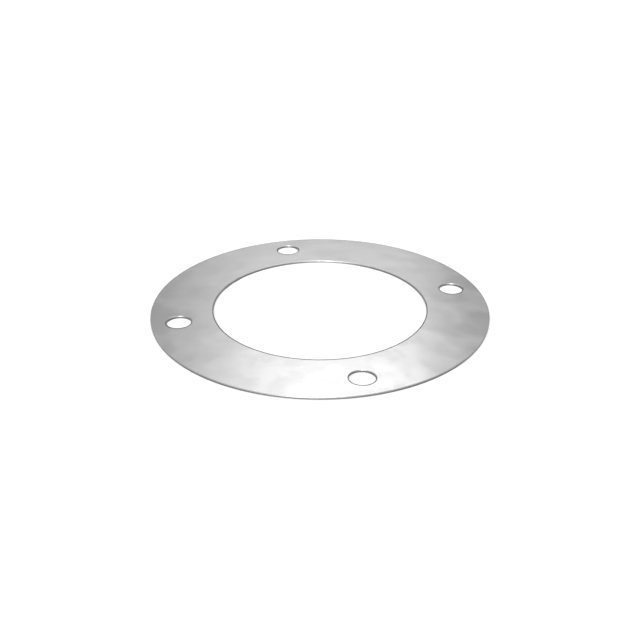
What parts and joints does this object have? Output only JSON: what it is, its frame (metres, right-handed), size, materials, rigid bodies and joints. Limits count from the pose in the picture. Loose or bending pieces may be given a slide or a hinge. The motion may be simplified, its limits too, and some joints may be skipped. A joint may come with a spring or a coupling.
{
  "type": "ring gasket",
  "caption": "Flat ring gasket of thin stainless sheet, with a wide central bore and evenly spaced bolt holes, for sealing between bolted flanges.",
  "frame": {"origin": "centre of the bore on the lower face", "axes": "+Z along the bore axis out of the upper face, the face that the cut edges roll over from; +X towards one bolt hole and +Y towards the next"},
  "size_m": [0.14, 0.14, 0.001],
  "materials": {
    "stainless_sheet": "cold rolled, satin, with cloudy handling marks; cut edges polished above, torn below"
  },
  "bodies": {
    "root": {"gasket_ring": "stainless_sheet"}
  },
  "joints": []
}
